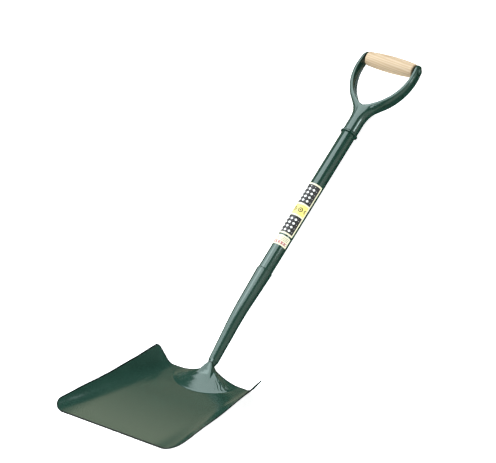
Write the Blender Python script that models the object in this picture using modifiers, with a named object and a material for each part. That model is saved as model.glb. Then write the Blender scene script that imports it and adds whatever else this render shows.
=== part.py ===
"""A square-mouth shovel: steel pan forged into a tapered socket, steel tube shaft, Y yoke and ash grip.

The pan is modelled with its flat floor level: the mouth is at y = 0, the handle goes to +Y, up is +Z.
The shaft, the yoke and the grip are modelled along their own upright axis and then leaned over.
Last, the whole shovel is laid face up on the ground, on its heel and its grip. Units are metres.
"""

import math

import bmesh
import bpy
from mathutils import Matrix, Vector

# Pan, seen from above: the floor's top face is z = 0
PAN_LENGTH = 0.2994
MOUTH_WIDTH = 0.3020
HEEL_WIDTH = 0.2530
MOUTH_CORNER_RADIUS = 0.031
HEEL_CORNER_RADIUS = 0.009
SHEET = 0.0020
HEEL_RISE = 0.0025
HEEL_RISE_LENGTH = 0.066
HEEL_SWEEP = 1.3

# Pan sections: distance from the mouth, half width of the flat floor, radius and degrees of the bend
PAN_SECTIONS = (
    (0.000, 0.1180, 0.056, 45.0),
    (0.024, 0.1170, 0.056, 45.0),
    (0.086, 0.1030, 0.064, 45.0),
    (0.148, 0.0925, 0.067, 45.0),
    (0.231, 0.0865, 0.044, 46.5),
    (0.299, 0.0880, 0.0207, 51.0),
)
SIDE_TOP = 0.050
ROW_STEP = 0.0155
BEND_STEPS = 7
CORNER_STEPS = 10
OVERSIZE = 0.010
OUTLINE_REACH = 0.060

# Frog: the raised half cone that carries the pan up into the socket
FROG_RADIUS = 0.066
FROG_SPREAD = 1.09
FROG_HEIGHT = 0.0249
FROG_SWEEP = 1.55
FROG_WALL = 0.0024
FROG_RINGS = 9
FROG_STEPS = 64

# Socket: tapered and cranked, from its rim down to the frog
LIFT = math.radians(38.2)
RIM_BEHIND_HEEL = 0.1647
RIM_HEIGHT = 0.1710
RIM_RADIUS = 0.0164
NECK_RADIUS = 0.0102
SOCKET_WALL = 0.0011
STRAIGHT_BELOW_RIM = 0.0760
CRANK_LENGTH = 0.050
CRANK = math.radians(6.2)
NECK_DISTANCE = 0.2089
ROOT_LENGTH = 0.040
ROOT_STEP = 0.004
ROOT_END_RADIUS = 0.0024
ROOT_TAPER = 0.8
ROOT_TURN = math.radians(-12)
ROOT_TURN_LENGTH = 0.012
BORE_DEPTH = 0.160
SOCKET_STEP = 0.006
PATH_STEP = 0.001
BAR_RESOLUTION = 14

# Shaft tube and the two joints
SHAFT_RADIUS = 0.0150
SHAFT_WALL = 0.0016
SWAGE_LENGTH = 0.060
YOKE_JOINT = 0.3380
SPIGOT_LENGTH = 0.036
SPIGOT_RADIUS = 0.0139
SHOULDER = 0.0025
RING_HEIGHT = 0.0038
RING_RADIUS = 0.0183
RING_LIP = 0.0006
RING_STEPS = 8

# Yoke: outer and inner edge of one arm as (x, along the shaft), with its depth front to back
YOKE_SECTIONS = (
    ((0.0157, 0.3380), (-0.0004, 0.3380), 0.0314),
    ((0.0157, 0.3560), (-0.0004, 0.3560), 0.0314),
    ((0.0160, 0.3700), (-0.0004, 0.3730), 0.0314),
    ((0.0182, 0.3830), (-0.0004, 0.3885), 0.0310),
    ((0.0243, 0.3950), (-0.0004, 0.3993), 0.0304),
    ((0.0340, 0.4068), (0.0106, 0.4040), 0.0296),
    ((0.0462, 0.4203), (0.0265, 0.4155), 0.0286),
    ((0.0569, 0.4368), (0.0408, 0.4306), 0.0272),
    ((0.0652, 0.4560), (0.0528, 0.4505), 0.0258),
    ((0.0697, 0.4774), (0.0599, 0.4739), 0.0248),
    ((0.0700, 0.4956), (0.0617, 0.4936), 0.0243),
    ((0.0685, 0.5105), (0.0603, 0.5105), 0.0240),
    ((0.0669, 0.5163), (0.0590, 0.5158), 0.0212),
    ((0.0657, 0.5208), (0.0582, 0.5203), 0.0154),
    ((0.0648, 0.5236), (0.0578, 0.5234), 0.0072),
)
SECTION_STEPS = 14
STEM_SQUARENESS, ARM_SQUARENESS = 2.0, 3.0
STEM_SECTIONS, TURNING_SECTIONS = 2, 5
CHANNEL_WALL = 0.0020
EYE_WALL = 0.0050
CHANNEL_FIRST, CHANNEL_LAST = 6, 12
EYE_FIRST, EYE_LAST = 7, 10
SOLID_ABOVE_BORE = 0.3770
HOLE_REACH = 0.100

# Grip, its rivet and the washers under the rivet's heads
GRIP_AXIS = 0.5105
GRIP_LENGTH = 0.1120
GRIP_END_RADIUS = 0.0142
GRIP_MIDDLE_RADIUS = 0.0172
GRIP_ROUNDING = 0.0025
GRIP_ROUNDING_STEPS = 4
GRIP_SWELL_STEPS = 12
RIVET_RADIUS = 0.0040
RIVET_HEAD_RADIUS = 0.0068
RIVET_HEAD_HEIGHT = 0.0032
RIVET_DOME_STEPS = 6
WASHER_RADIUS = 0.0085
WASHER_THICKNESS = 0.0012
WASHER_SEAT = 0.0658

# Labels on the front of the shaft: lower end, upper end
UPPER_LABEL = (0.0815, 0.2035)
LOWER_LABEL = (0.0555, 0.0775)
LABEL_WRAP = math.radians(168)
LABEL_FILM = 0.00025
LABEL_STEPS = 26

# Shared by all pieces: gap between neighbours, weld distance, steps of a circle, angle of a sharp edge
GAP = 0.0003
WELD = 1e-6
ROUND_STEPS = 40
FASTENER_STEPS = 24
SHARP_ANGLE = math.radians(35)
EMPTY_SIZE = 0.050


def clear_scene():
    for old in list(bpy.data.objects):
        bpy.data.objects.remove(old, do_unlink=True)


def new_collection(name):
    made = bpy.data.collections.new(name)
    bpy.context.scene.collection.children.link(made)
    return made


def new_empty(name, collection, parent=None, location=(0, 0, 0), turn_about_x=0.0):
    empty = bpy.data.objects.new(name, None)
    empty.empty_display_size = EMPTY_SIZE
    empty.parent = parent
    empty.location = location
    empty.rotation_euler = (turn_about_x, 0, 0)
    collection.objects.link(empty)
    return empty


def new_material(name, colour, roughness, metallic=0.0):
    material = bpy.data.materials.new(name)
    material.use_nodes = True
    shader = material.node_tree.nodes["Principled BSDF"]
    shader.inputs["Base Color"].default_value = (*colour, 1)
    shader.inputs["Roughness"].default_value = roughness
    shader.inputs["Metallic"].default_value = metallic
    return material


def add_object(name, mesh, collection, parent, material=None):
    made = bpy.data.objects.new(name, mesh)
    made.parent = parent
    collection.objects.link(made)
    if material:
        mesh.materials.append(material)
        mesh.shade_smooth()
        mesh.set_sharp_from_angle(angle=SHARP_ANGLE)
    else:
        made.hide_render = True
        made.display_type = "WIRE"
    return made


def mesh_from(bm, name):
    mesh = bpy.data.meshes.new(name)
    bm.to_mesh(mesh)
    bm.free()
    return mesh


def mesh_from_curve(curve_object, name):
    """The curve's surface as a closed mesh, with its loose caps welded on. The curve object goes."""
    bpy.context.view_layer.update()
    evaluated = curve_object.evaluated_get(bpy.context.evaluated_depsgraph_get())
    mesh = bpy.data.meshes.new_from_object(evaluated)
    mesh.name = name
    bm = bmesh.new()
    bm.from_mesh(mesh)
    bmesh.ops.remove_doubles(bm, verts=bm.verts, dist=WELD)
    bmesh.ops.recalc_face_normals(bm, faces=bm.faces)
    bm.to_mesh(mesh)
    bm.free()
    bpy.data.objects.remove(curve_object, do_unlink=True)
    return mesh


def boolean(target, operation, other):
    step = target.modifiers.new(other.name, "BOOLEAN")
    step.operation = operation
    step.object = other
    step.solver = "EXACT"


def turned_mesh(name, profile):
    """A mesh of the profile alone, as (radius, height), closed on itself where it leaves the axis."""
    bm = bmesh.new()
    verts = [bm.verts.new((radius, 0, height)) for radius, height in profile]
    for first, second in zip(verts, verts[1:]):
        bm.edges.new((first, second))
    if profile[0][0] > 0 and profile[-1][0] > 0:
        bm.edges.new((verts[-1], verts[0]))
    return mesh_from(bm, name)


def turn(target, steps=ROUND_STEPS):
    screw = target.modifiers.new("turn", "SCREW")
    screw.axis = "Z"
    screw.angle = math.tau
    screw.steps = steps
    screw.render_steps = steps
    screw.use_merge_vertices = True
    screw.merge_threshold = WELD
    screw.use_smooth_shade = True


def lofted_mesh(name, rings):
    """Rings of equal count, joined one to the next and capped."""
    bm = bmesh.new()
    made = [[bm.verts.new(point) for point in ring] for ring in rings]
    for lower, upper in zip(made, made[1:]):
        count = len(lower)
        for i in range(count):
            j = (i + 1) % count
            bm.faces.new((lower[i], lower[j], upper[j], upper[i]))
    bm.faces.new(made[0])
    bm.faces.new(made[-1])
    bmesh.ops.recalc_face_normals(bm, faces=bm.faces)
    return mesh_from(bm, name)


def smooth_between(table, at):
    """Catmull-Rom interpolation in a table whose rows start with their position."""
    places = [row[0] for row in table]
    at = min(max(at, places[0]), places[-1])
    last = len(table) - 2
    i = min(max(k for k, place in enumerate(places) if place <= at), last)
    share = (at - places[i]) / (places[i + 1] - places[i])
    before, low, high, after = (table[min(max(k, 0), last + 1)] for k in range(i - 1, i + 3))
    values = []
    for a, b, c, d in zip(before[1:], low[1:], high[1:], after[1:]):
        bend = (2 * a - 5 * b + 4 * c - d) * share**2 + (3 * b - a - 3 * c + d) * share**3
        values.append(b + 0.5 * ((c - a) * share + bend))
    return values


def pan_section(y):
    """Half of the pan's cross section at y: along the floor, round the bend and up the leaning side."""
    floor, radius, degrees = smooth_between(PAN_SECTIONS, y)
    lean = math.radians(degrees)
    points = [(floor, 0.0)]
    for i in range(1, BEND_STEPS + 1):
        angle = lean * i / BEND_STEPS
        points.append((floor + radius * math.sin(angle), radius * (1 - math.cos(angle))))
    rise = SIDE_TOP - points[-1][1]
    points.append((points[-1][0] + rise / math.tan(lean), SIDE_TOP))
    return points


def heel_rise(y):
    """How far the pan is turned up at y, a little towards its heel."""
    share = max((y - PAN_LENGTH) / HEEL_RISE_LENGTH + 1, 0)
    return HEEL_RISE * share**HEEL_SWEEP


def pan_mesh():
    """The pan's top face as an open surface, larger all round than the finished outline."""
    start, end = -OVERSIZE, PAN_LENGTH + OVERSIZE
    rows = math.ceil((end - start) / ROW_STEP)
    bm = bmesh.new()
    made = []
    for row in range(rows + 1):
        y = start + (end - start) * row / rows
        half = pan_section(y)
        across = [(-x, z) for x, z in reversed(half)] + half
        made.append([bm.verts.new((x, y, z + heel_rise(y))) for x, z in across])
    for near, far in zip(made, made[1:]):
        for i in range(len(near) - 1):
            bm.faces.new((near[i], near[i + 1], far[i + 1], far[i]))
    return mesh_from(bm, "blade")


def rounded_outline(corners):
    """A closed outline with each corner, given as (x, y, radius), rounded by an arc."""
    points = []
    for i, (x, y, radius) in enumerate(corners):
        here = Vector((x, y))
        back = (Vector(corners[i - 1][:2]) - here).normalized()
        ahead = (Vector(corners[(i + 1) % len(corners)][:2]) - here).normalized()
        half_angle = back.angle(ahead) / 2
        centre = here + (back + ahead).normalized() * radius / math.sin(half_angle)
        start = here + back * radius / math.tan(half_angle) - centre
        sweep = start.angle_signed(here + ahead * radius / math.tan(half_angle) - centre)
        for step in range(CORNER_STEPS + 1):
            points.append(centre + Matrix.Rotation(-sweep * step / CORNER_STEPS, 2) @ start)
    return points


def blade_outline(cutters, parent):
    """The trimming outline of the pan, seen from above, as a block that the pan is cut to."""
    mouth, heel = MOUTH_WIDTH / 2, HEEL_WIDTH / 2
    corners = (
        (-mouth, 0, MOUTH_CORNER_RADIUS),
        (mouth, 0, MOUTH_CORNER_RADIUS),
        (heel, PAN_LENGTH, HEEL_CORNER_RADIUS),
        (-heel, PAN_LENGTH, HEEL_CORNER_RADIUS),
    )
    points = rounded_outline(corners)
    curve = bpy.data.curves.new("blade_outline", "CURVE")
    curve.dimensions = "2D"
    curve.fill_mode = "BOTH"
    curve.extrude = OUTLINE_REACH
    spline = curve.splines.new("POLY")
    spline.points.add(len(points) - 1)
    for point, place in zip(spline.points, points):
        point.co = (place.x, place.y, 0, 1)
    spline.use_cyclic_u = True
    flat = bpy.data.objects.new("blade_outline_curve", curve)
    cutters.objects.link(flat)
    return add_object("blade_outline", mesh_from_curve(flat, "blade_outline"), cutters, parent)


def frog_profile(drop, foot):
    """The frog's half profile, lowered by drop, from the peak down to its foot and back to the axis."""
    profile = []
    for ring in range(FROG_RINGS + 1):
        radius = FROG_RADIUS * ring / FROG_RINGS
        height = FROG_HEIGHT * (1 - ring / FROG_RINGS) ** FROG_SWEEP
        profile.append((radius, height - drop))
    profile.append((FROG_RADIUS, foot))
    profile.append((0, foot))
    return profile


def frog_cone(name, drop, foot, cutters, parent):
    """The frog's cone at the heel, tipped so that its foot lies along the turned-up floor."""
    cone = add_object(name, turned_mesh(name, frog_profile(drop, foot)), cutters, parent)
    cone.location = (0, PAN_LENGTH, HEEL_RISE)
    cone.rotation_euler = (math.atan2(HEEL_RISE, FROG_RADIUS), 0, 0)
    cone.scale = (FROG_SPREAD, 1, 1)
    turn(cone, FROG_STEPS)
    return cone


def socket_point(distance):
    """Centre of the socket at a distance down from its rim, past the crank and along the root."""
    place = Vector((0, PAN_LENGTH + RIM_BEHIND_HEEL, RIM_HEIGHT))
    done = 0.0
    while abs(distance - done) > WELD:
        step = min(max(distance - done, -PATH_STEP), PATH_STEP)
        middle = done + step / 2
        cranked = min(max((middle - STRAIGHT_BELOW_RIM) / CRANK_LENGTH, 0.0), 1.0)
        rooted = min(max((middle - NECK_DISTANCE) / ROOT_TURN_LENGTH, 0.0), 1.0)
        lift = LIFT + CRANK * cranked + ROOT_TURN * rooted
        place -= Vector((0, math.cos(lift), math.sin(lift))) * step
        done += step
    return place


def socket_radius(distance):
    """Outer radius of the socket: an even taper to the neck, then the root that runs out in the frog."""
    if distance <= NECK_DISTANCE:
        return RIM_RADIUS + (NECK_RADIUS - RIM_RADIUS) * distance / NECK_DISTANCE
    past = (distance - NECK_DISTANCE) / ROOT_LENGTH
    return NECK_RADIUS + (ROOT_END_RADIUS - NECK_RADIUS) * past**ROOT_TAPER


def socket_tube(name, distances, wall, cutters, parent):
    """A round bar along the socket's centre line, as thick as the socket less the given wall."""
    curve = bpy.data.curves.new(name, "CURVE")
    curve.dimensions = "3D"
    curve.bevel_depth = 1.0
    curve.bevel_resolution = BAR_RESOLUTION
    curve.use_fill_caps = True
    spline = curve.splines.new("POLY")
    spline.points.add(len(distances) - 1)
    for point, distance in zip(spline.points, distances):
        point.co = (*socket_point(distance), 1)
        point.radius = socket_radius(distance) - wall
    bar = bpy.data.objects.new(name + "_curve", curve)
    cutters.objects.link(bar)
    return add_object(name, mesh_from_curve(bar, name), cutters, parent)


def evenly(start, end, step):
    count = math.ceil((end - start) / step)
    return [start + (end - start) * i / count for i in range(count + 1)]


def make_blade(parts, cutters, parent, steel):
    """Pan, frog and socket are one forging: the trough is pressed, trimmed and drawn into the socket."""
    blade = add_object("blade", pan_mesh(), parts, parent, steel)
    sheet = blade.modifiers.new("sheet", "SOLIDIFY")
    sheet.thickness = SHEET
    sheet.offset = -1
    sheet.use_even_offset = True
    boolean(blade, "UNION", frog_cone("frog_outside", 0, -SHEET / 2, cutters, parent))
    boolean(blade, "DIFFERENCE", frog_cone("frog_inside", FROG_WALL, -OVERSIZE, cutters, parent))
    boolean(blade, "INTERSECT", blade_outline(cutters, parent))
    root_end = NECK_DISTANCE + ROOT_LENGTH
    outside = evenly(0, NECK_DISTANCE, SOCKET_STEP) + evenly(NECK_DISTANCE, root_end, ROOT_STEP)[1:]
    boolean(blade, "UNION", socket_tube("socket_outside", outside, 0, cutters, parent))
    inside = [-OVERSIZE, *evenly(0, BORE_DEPTH, SOCKET_STEP)]
    boolean(blade, "DIFFERENCE", socket_tube("socket_bore", inside, SOCKET_WALL, cutters, parent))


def make_shaft(parts, parent, steel):
    """A drawn tube: swaged down to the socket's taper below, and to a spigot for the yoke above."""
    taper = (RIM_RADIUS - NECK_RADIUS) / NECK_DISTANCE
    swaged = SHAFT_RADIUS - taper * SWAGE_LENGTH
    shoulder = YOKE_JOINT - GAP
    top = YOKE_JOINT + SPIGOT_LENGTH
    outside = [
        (SPIGOT_RADIUS, top),
        (SPIGOT_RADIUS, shoulder),
        (SHAFT_RADIUS, shoulder - SHOULDER),
        (SHAFT_RADIUS, 0),
        (swaged, -SWAGE_LENGTH),
    ]
    inside = [(radius - SHAFT_WALL, height) for radius, height in reversed(outside)]
    shaft = add_object("shaft_tube", turned_mesh("shaft_tube", outside + inside), parts, parent, steel)
    turn(shaft)


def make_yoke_ring(parts, parent, steel):
    """The raised ring that hides the joint between shaft and yoke."""
    top = YOKE_JOINT - GAP
    bottom = top - RING_HEIGHT
    bore = SHAFT_RADIUS + GAP
    middle = (top + bottom) / 2
    profile = [(bore, top)]
    for step in range(RING_STEPS + 1):
        angle = math.pi * step / RING_STEPS
        bulge = (RING_RADIUS - bore - RING_LIP) * math.sin(angle)
        profile.append((bore + RING_LIP + bulge, middle + RING_HEIGHT / 2 * math.cos(angle)))
    profile.append((bore, bottom))
    turn(add_object("yoke_ring", turned_mesh("yoke_ring", profile), parts, parent, steel))


def squared(value, squareness):
    """Cosine or sine drawn towards a square, as a superellipse is."""
    return math.copysign(abs(value) ** (2 / squareness), value)


def arm_ring(outer, inner, depth, squareness, side, back=0.0, wall=0.0, past=0.0):
    """A closed D section between an outer and an inner edge. With walls it is the channel inside."""
    outer, inner = Vector(outer), Vector(inner)
    inward = (inner - outer).normalized()
    width = (inner - outer).length
    ring = []
    for step in range(SECTION_STEPS + 1):
        angle = -math.pi / 2 + math.pi * step / SECTION_STEPS
        across = width - (width - back) * squared(math.cos(angle), squareness)
        place = outer + inward * across
        ring.append((side * place.x, (depth / 2 - wall) * squared(math.sin(angle), squareness), place.y))
    if past:
        place = inner + inward * past
        ring.append((side * place.x, depth / 2 - wall, place.y))
        ring.append((side * place.x, wall - depth / 2, place.y))
    return ring


def yoke_squareness(index):
    """Round at the stem, squarer along the arm."""
    share = min(max((index - STEM_SECTIONS) / TURNING_SECTIONS, 0), 1)
    return STEM_SQUARENESS + (ARM_SQUARENESS - STEM_SQUARENESS) * share


def yoke_rings(side):
    rings = []
    for index, (outer, inner, depth) in enumerate(YOKE_SECTIONS):
        rings.append(arm_ring(outer, inner, depth, yoke_squareness(index), side))
    return rings


def channel_rings(side):
    """The channel inside one arm. Its back grows thicker towards the eye that holds the rivet."""
    rings = []
    for index in range(CHANNEL_FIRST, CHANNEL_LAST + 1):
        outer, inner, depth = YOKE_SECTIONS[index]
        share = min(max((index - EYE_FIRST) / (EYE_LAST - EYE_FIRST), 0), 1)
        back = CHANNEL_WALL + (EYE_WALL - CHANNEL_WALL) * share
        ring = arm_ring(outer, inner, depth, yoke_squareness(index), side, back, CHANNEL_WALL, OVERSIZE)
        rings.append(ring)
    return rings


def round_bar(name, radius, length, place, cutters, parent):
    bm = bmesh.new()
    bmesh.ops.create_cone(
        bm,
        cap_ends=True,
        segments=ROUND_STEPS,
        radius1=radius,
        radius2=radius,
        depth=length,
        matrix=place,
    )
    return add_object(name, mesh_from(bm, name), cutters, parent)


def upright_bar(name, radius, bottom, top, cutters, parent):
    place = Matrix.Translation((0, 0, (bottom + top) / 2))
    return round_bar(name, radius, top - bottom, place, cutters, parent)


def cross_bar(name, radius, left, right, cutters, parent):
    place = Matrix.Translation(((left + right) / 2, 0, GRIP_AXIS)) @ Matrix.Rotation(math.pi / 2, 4, "Y")
    return round_bar(name, radius, right - left, place, cutters, parent)


def make_yoke(parts, cutters, parent, steel):
    """Two pressed arms that part from a round stem, channelled inside and pierced for the rivet."""
    yoke = add_object("yoke", lofted_mesh("yoke", yoke_rings(1)), parts, parent, steel)
    left = add_object("yoke_left_arm", lofted_mesh("yoke_left_arm", yoke_rings(-1)), cutters, parent)
    boolean(yoke, "UNION", left)
    bore = upright_bar(
        "yoke_bore", SPIGOT_RADIUS + GAP, YOKE_JOINT - OVERSIZE, SOLID_ABOVE_BORE, cutters, parent
    )
    boolean(yoke, "DIFFERENCE", bore)
    for side, name in ((1, "channel_right"), (-1, "channel_left")):
        channel = add_object(name, lofted_mesh(name, channel_rings(side)), cutters, parent)
        boolean(yoke, "DIFFERENCE", channel)
    hole = cross_bar("rivet_hole", RIVET_RADIUS + GAP, -HOLE_REACH, HOLE_REACH, cutters, parent)
    boolean(yoke, "DIFFERENCE", hole)
    seat_radius = WASHER_RADIUS + GAP
    far = WASHER_SEAT + OVERSIZE
    boolean(yoke, "DIFFERENCE", cross_bar("seat_right", seat_radius, WASHER_SEAT, far, cutters, parent))
    boolean(yoke, "DIFFERENCE", cross_bar("seat_left", seat_radius, -far, -WASHER_SEAT, cutters, parent))


def make_grip(parts, parent, wood):
    """A turned barrel with a hole through it: its origin and Z axis are on the rivet's axis."""
    half = GRIP_LENGTH / 2
    bore = RIVET_RADIUS + GAP
    end = []
    for step in range(GRIP_ROUNDING_STEPS + 1):
        angle = math.pi / 2 * step / GRIP_ROUNDING_STEPS
        radius = GRIP_END_RADIUS - GRIP_ROUNDING * (1 - math.sin(angle))
        end.append((radius, half - GRIP_ROUNDING * (1 - math.cos(angle))))
    swell = []
    for step in range(1, GRIP_SWELL_STEPS):
        share = 1 - 2 * step / GRIP_SWELL_STEPS
        radius = GRIP_END_RADIUS + (GRIP_MIDDLE_RADIUS - GRIP_END_RADIUS) * (1 - share**2)
        swell.append((radius, share * (half - GRIP_ROUNDING)))
    other_end = [(radius, -height) for radius, height in reversed(end)]
    profile = [(bore, half), *end, *swell, *other_end, (bore, -half)]
    grip = add_object("grip", turned_mesh("grip", profile), parts, parent, wood)
    grip.location = (0, 0, GRIP_AXIS)
    grip.rotation_euler = (0, math.pi / 2, 0)
    turn(grip)


def make_rivet(parts, parent, steel):
    """The through rivet: a low domed head outside each washer, right across the yoke."""
    seat = WASHER_SEAT + 2 * GAP + WASHER_THICKNESS
    upper = [(RIVET_RADIUS, seat)]
    for step in range(RIVET_DOME_STEPS + 1):
        angle = math.pi / 2 * step / RIVET_DOME_STEPS
        upper.append((RIVET_HEAD_RADIUS * math.cos(angle), seat + RIVET_HEAD_HEIGHT * math.sin(angle)))
    upper[-1] = (0, seat + RIVET_HEAD_HEIGHT)
    profile = list(reversed(upper)) + [(radius, -height) for radius, height in upper]
    rivet = add_object("grip_rivet", turned_mesh("grip_rivet", profile), parts, parent, steel)
    rivet.location = (0, 0, GRIP_AXIS)
    rivet.rotation_euler = (0, math.pi / 2, 0)
    turn(rivet, FASTENER_STEPS)


def make_washers(parts, parent, steel):
    """A rivet burr on the outside of each arm, in its flat seat."""
    bore = RIVET_RADIUS + GAP
    profile = [
        (bore, WASHER_THICKNESS / 2),
        (WASHER_RADIUS, WASHER_THICKNESS / 2),
        (WASHER_RADIUS, -WASHER_THICKNESS / 2),
        (bore, -WASHER_THICKNESS / 2),
    ]
    for name, side in (("washer_right", 1), ("washer_left", -1)):
        washer = add_object(name, turned_mesh(name, profile), parts, parent, steel)
        washer.location = (side * (WASHER_SEAT + GAP + WASHER_THICKNESS / 2), 0, GRIP_AXIS)
        washer.rotation_euler = (0, math.pi / 2, 0)
        turn(washer, FASTENER_STEPS)


def make_label(name, ends, parts, parent, film):
    """A printed film round the front of the shaft, open at the back."""
    rings = []
    inner = SHAFT_RADIUS + GAP
    for step in range(LABEL_STEPS + 1):
        angle = -math.pi / 2 + LABEL_WRAP * (step / LABEL_STEPS - 0.5)
        x, y = math.cos(angle), math.sin(angle)
        outer = inner + LABEL_FILM
        corners = ((inner, ends[0]), (outer, ends[0]), (outer, ends[1]), (inner, ends[1]))
        rings.append([(x * radius, y * radius, height) for radius, height in corners])
    add_object(name, lofted_mesh(name, rings), parts, parent, film)


def rest_tilt():
    """The turn that brings the underside of the heel and the grip's belly down to one level."""
    along = GRIP_AXIS
    to_grip_y = RIM_BEHIND_HEEL + along * math.cos(LIFT)
    to_grip_z = RIM_HEIGHT + along * math.sin(LIFT) + SHEET - HEEL_RISE
    reach = math.hypot(to_grip_y, to_grip_z)
    return math.atan2(to_grip_z, to_grip_y) - math.asin(GRIP_MIDDLE_RADIUS / reach)


def stand_on_floor(empty, parts):
    """Moves the parent of everything, so the object's box stands on z = 0, centred on the origin."""
    bpy.context.view_layer.update()
    graph = bpy.context.evaluated_depsgraph_get()
    points = []
    for part in parts.objects:
        if part.type == "MESH":
            evaluated = part.evaluated_get(graph)
            points += [evaluated.matrix_world @ vertex.co for vertex in evaluated.data.vertices]
    low = [min(point[axis] for point in points) for axis in range(3)]
    high = [max(point[axis] for point in points) for axis in range(3)]
    empty.location = (-(low[0] + high[0]) / 2, -(low[1] + high[1]) / 2, -low[2])


def main():
    clear_scene()
    parts = new_collection("square_shovel")
    cutters = new_collection("cutters")
    enamel = new_material("green_enamel", (0.045, 0.105, 0.068), 0.32)
    ash = new_material("turned_ash", (0.80, 0.58, 0.36), 0.5)
    film = new_material("label_film", (0.85, 0.66, 0.05), 0.4)
    laid_down = new_empty("laid_down", parts, turn_about_x=-rest_tilt())
    rim = (0, PAN_LENGTH + RIM_BEHIND_HEEL, RIM_HEIGHT)
    handle = new_empty("handle_axis", parts, laid_down, rim, LIFT - math.pi / 2)
    make_blade(parts, cutters, laid_down, enamel)
    make_shaft(parts, handle, enamel)
    make_yoke_ring(parts, handle, enamel)
    make_yoke(parts, cutters, handle, enamel)
    make_grip(parts, handle, ash)
    make_rivet(parts, handle, enamel)
    make_washers(parts, handle, enamel)
    make_label("label_main", UPPER_LABEL, parts, handle, film)
    make_label("label_foot", LOWER_LABEL, parts, handle, film)
    stand_on_floor(laid_down, parts)


main()
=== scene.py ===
"""Looks of a square-mouth shovel: enamelled steel pan, socket, tube shaft and yoke, and a turned ash grip.

The packed model is loaded as a fixed frame, and each piece is modelled finely in its place.
The pan is worked out with its floor level and its mouth at y = 0, with the handle going to +Y.
The handle is worked out along its own upright axis, with the label's side at -Y.
Both are then laid into the frame. Units are metres.
"""

import math

import bmesh
import bpy
from bpy.props import FloatProperty, FloatVectorProperty, PointerProperty
from bpy.types import Operator, Panel, PropertyGroup
from mathutils import Matrix, Vector, noise


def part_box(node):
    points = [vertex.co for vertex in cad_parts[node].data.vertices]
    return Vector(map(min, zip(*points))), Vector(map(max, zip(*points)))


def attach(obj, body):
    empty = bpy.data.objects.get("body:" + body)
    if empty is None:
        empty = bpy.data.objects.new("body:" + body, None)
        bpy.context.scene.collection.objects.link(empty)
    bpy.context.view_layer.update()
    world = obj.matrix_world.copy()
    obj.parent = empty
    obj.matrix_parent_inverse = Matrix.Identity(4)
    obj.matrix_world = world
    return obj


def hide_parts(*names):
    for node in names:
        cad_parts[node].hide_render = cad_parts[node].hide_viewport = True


bl_info = {
    "name": "Square Shovel",
    "version": (1, 0, 0),
    "blender": (4, 5, 0),
    "location": "View3D > Sidebar > Shovel",
    "description": "Models an all-steel square-mouth shovel with a turned wooden grip",
    "category": "Add Mesh",
}

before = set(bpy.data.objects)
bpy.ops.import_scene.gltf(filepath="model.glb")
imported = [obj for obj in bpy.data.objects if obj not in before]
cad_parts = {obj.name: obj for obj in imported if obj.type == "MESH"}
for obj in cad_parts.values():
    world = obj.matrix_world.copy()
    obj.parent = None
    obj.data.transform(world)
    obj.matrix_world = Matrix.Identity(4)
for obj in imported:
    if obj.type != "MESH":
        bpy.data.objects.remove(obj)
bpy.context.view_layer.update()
MM = 0.001

# Pan sections: distance from the mouth, half width of the flat floor, radius and degrees of the bend
PAN_SECTIONS = (
    (0.000, 0.1180, 0.056, 45.0),
    (0.024, 0.1170, 0.056, 45.0),
    (0.086, 0.1030, 0.064, 45.0),
    (0.148, 0.0925, 0.067, 45.0),
    (0.231, 0.0865, 0.044, 46.5),
    (0.299, 0.0880, 0.0207, 51.0),
)
# Turned-up heel: length of its rise, and how hollow the rise is
HEEL_RISE_LENGTH = 0.066
HEEL_SWEEP = 1.3

# Frog's crest: distance from the heel, height of its top, half width and height of its arch
CREST_SECTIONS = (
    (0.000, 0.0368, 0.0084, 0.0120),
    (0.005, 0.0330, 0.0100, 0.0060),
    (0.010, 0.0288, 0.0122, 0.0046),
    (0.016, 0.0237, 0.0155, 0.0041),
    (0.024, 0.0175, 0.0190, 0.0040),
    (0.034, 0.0100, 0.0240, 0.0040),
    (0.046, -0.0020, 0.0300, 0.0040),
)
# The arch holds over this share of its half width, and falls by this slope beyond it
CREST_ARCH_SHARE = 0.94
CREST_FALL = 1.7
# Fillet beside the crest: in the crease at the neck, at its end, and how far from the heel it starts to widen
CREST_CREASE, CREST_BLEND, CREST_BLEND_FROM = 0.0016, 0.0060, 0.008

# Frog's relief: angles from the middle line, a quarter turn along the heel, and radii from the heel's middle
HOLLOW_ANGLES = (math.radians(58), math.radians(86))
TOE_ANGLES = (math.radians(60), math.radians(80))
TOE_STEP_WIDTH = 0.0024
GROOVE_OUTSIDE, GROOVE_HALF_WIDTH = 0.0016, 0.0022
# Press wrinkles: where they start, are full, fade and end, by angle in radians and by radius
WRINKLE_ANGLES = (0.30, 0.60, 1.20, 1.45)
WRINKLE_RADII = (0.026, 0.040, 0.057, 0.065)
# Their height doubles between these angles
CRUMPLE_ANGLES = (0.65, 1.0)
# Their phase for each radian, how far noise shifts it, and how fast that noise changes
WRINKLE_RATE, WRINKLE_WAVER = 58, 5
WAVER_BY_ANGLE, WAVER_BY_RADIUS = 7, 60

# Handle: how it leans on the pan, and how it bends into the frog
LIFT = math.radians(38.2)
CRANK = math.radians(6.2)
STRAIGHT_BELOW_RIM = 0.0760
CRANK_LENGTH = 0.050
ROOT_TURN = math.radians(-12)
ROOT_TURN_LENGTH = 0.012
ROOT_LENGTH = 0.040
ROOT_END_RADIUS, ROOT_TAPER = 0.0024, 0.8
# Rounded tip past the root's end: distance, and share of the end's radius
ROOT_TIP = ((0.0016, 0.30), (0.0010, 0.72))
NECK_DISTANCE = 0.2089
NECK_RADIUS = 0.0102
BORE_DEPTH = 0.160
PATH_STEP = 0.0005
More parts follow.
